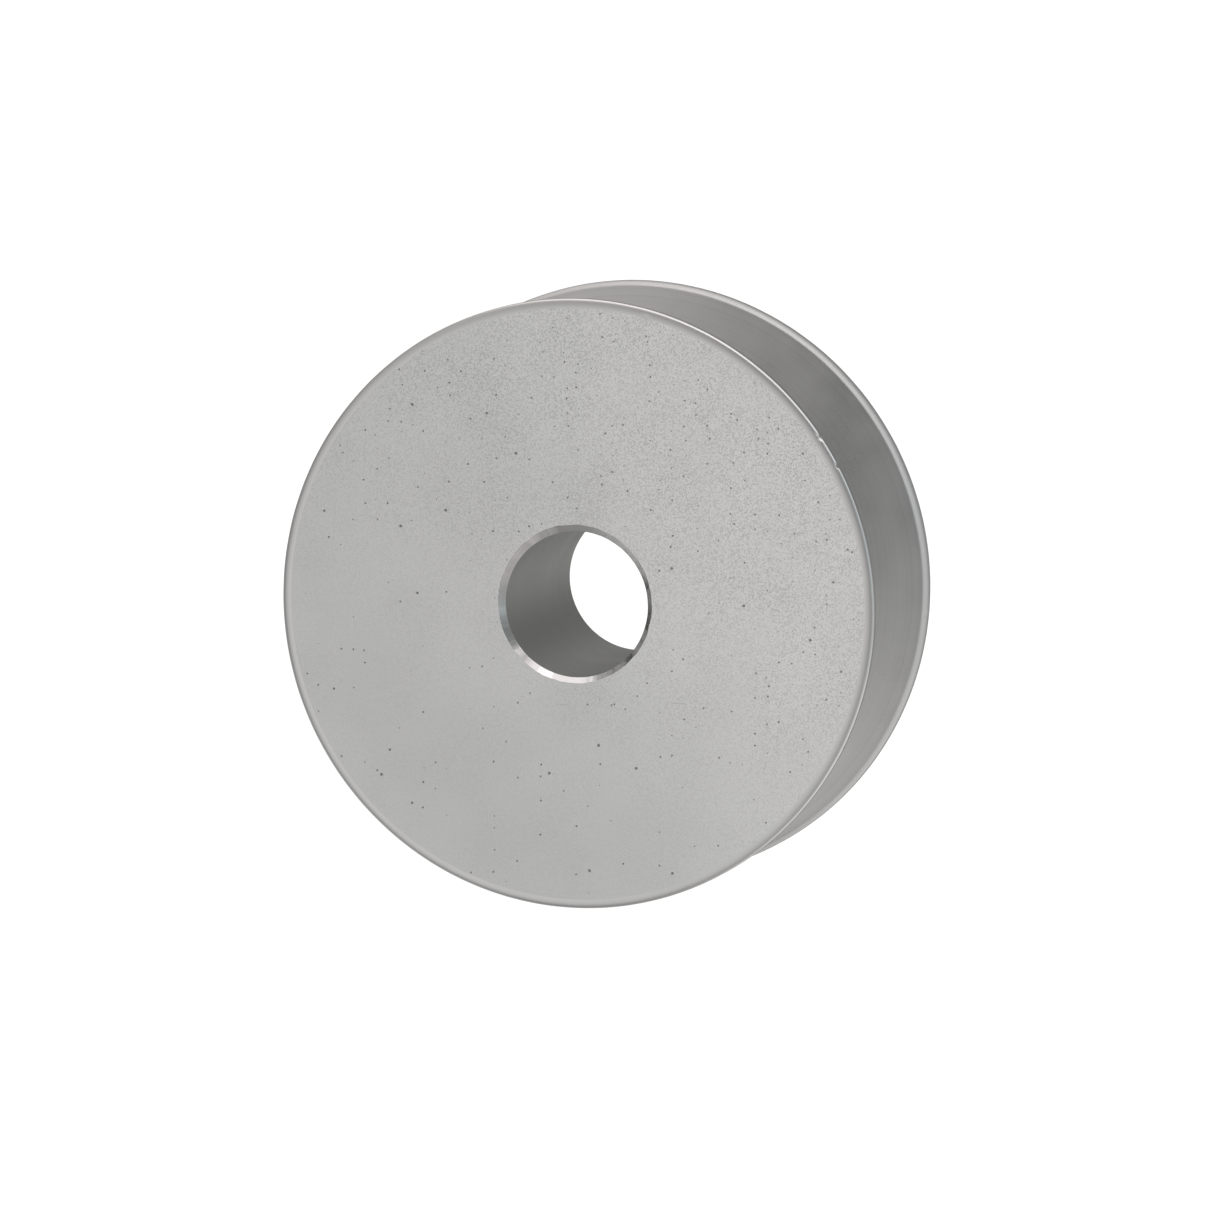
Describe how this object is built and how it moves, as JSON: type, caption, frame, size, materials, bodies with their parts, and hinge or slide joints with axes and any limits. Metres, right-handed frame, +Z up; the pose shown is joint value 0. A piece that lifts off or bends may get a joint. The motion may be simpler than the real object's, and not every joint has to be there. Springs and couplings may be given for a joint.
{
  "type": "v belt pulley",
  "caption": "Plain flat-faced wheel with a deep V groove round its rim, a plain round bore through its centre and a radial grub screw that grips the shaft.",
  "frame": {"origin": "on the shaft axis, half-way between the two flat faces", "axes": "+Y along the shaft axis from the front face to the rear face, +Z up through the grub screw, +X to the right of someone facing the front face"},
  "size_m": [0.05, 0.02, 0.05],
  "materials": {
    "turned_aluminium": "natural aluminium, faces finely blasted to a matte grain, groove and bore smooth turned",
    "blackened_steel": "black oxide on machined steel, satin"
  },
  "bodies": {
    "pulley": {"pulley_body": "turned_aluminium"},
    "grub_screw": {"set_screw": "blackened_steel"}
  },
  "joints": [
    {"name": "set_screw_travel", "type": "slide", "parent": "pulley", "child": "grub_screw", "axis": [0, 0, 1], "range_m": [-0.0008, 0.0024]}
  ]
}
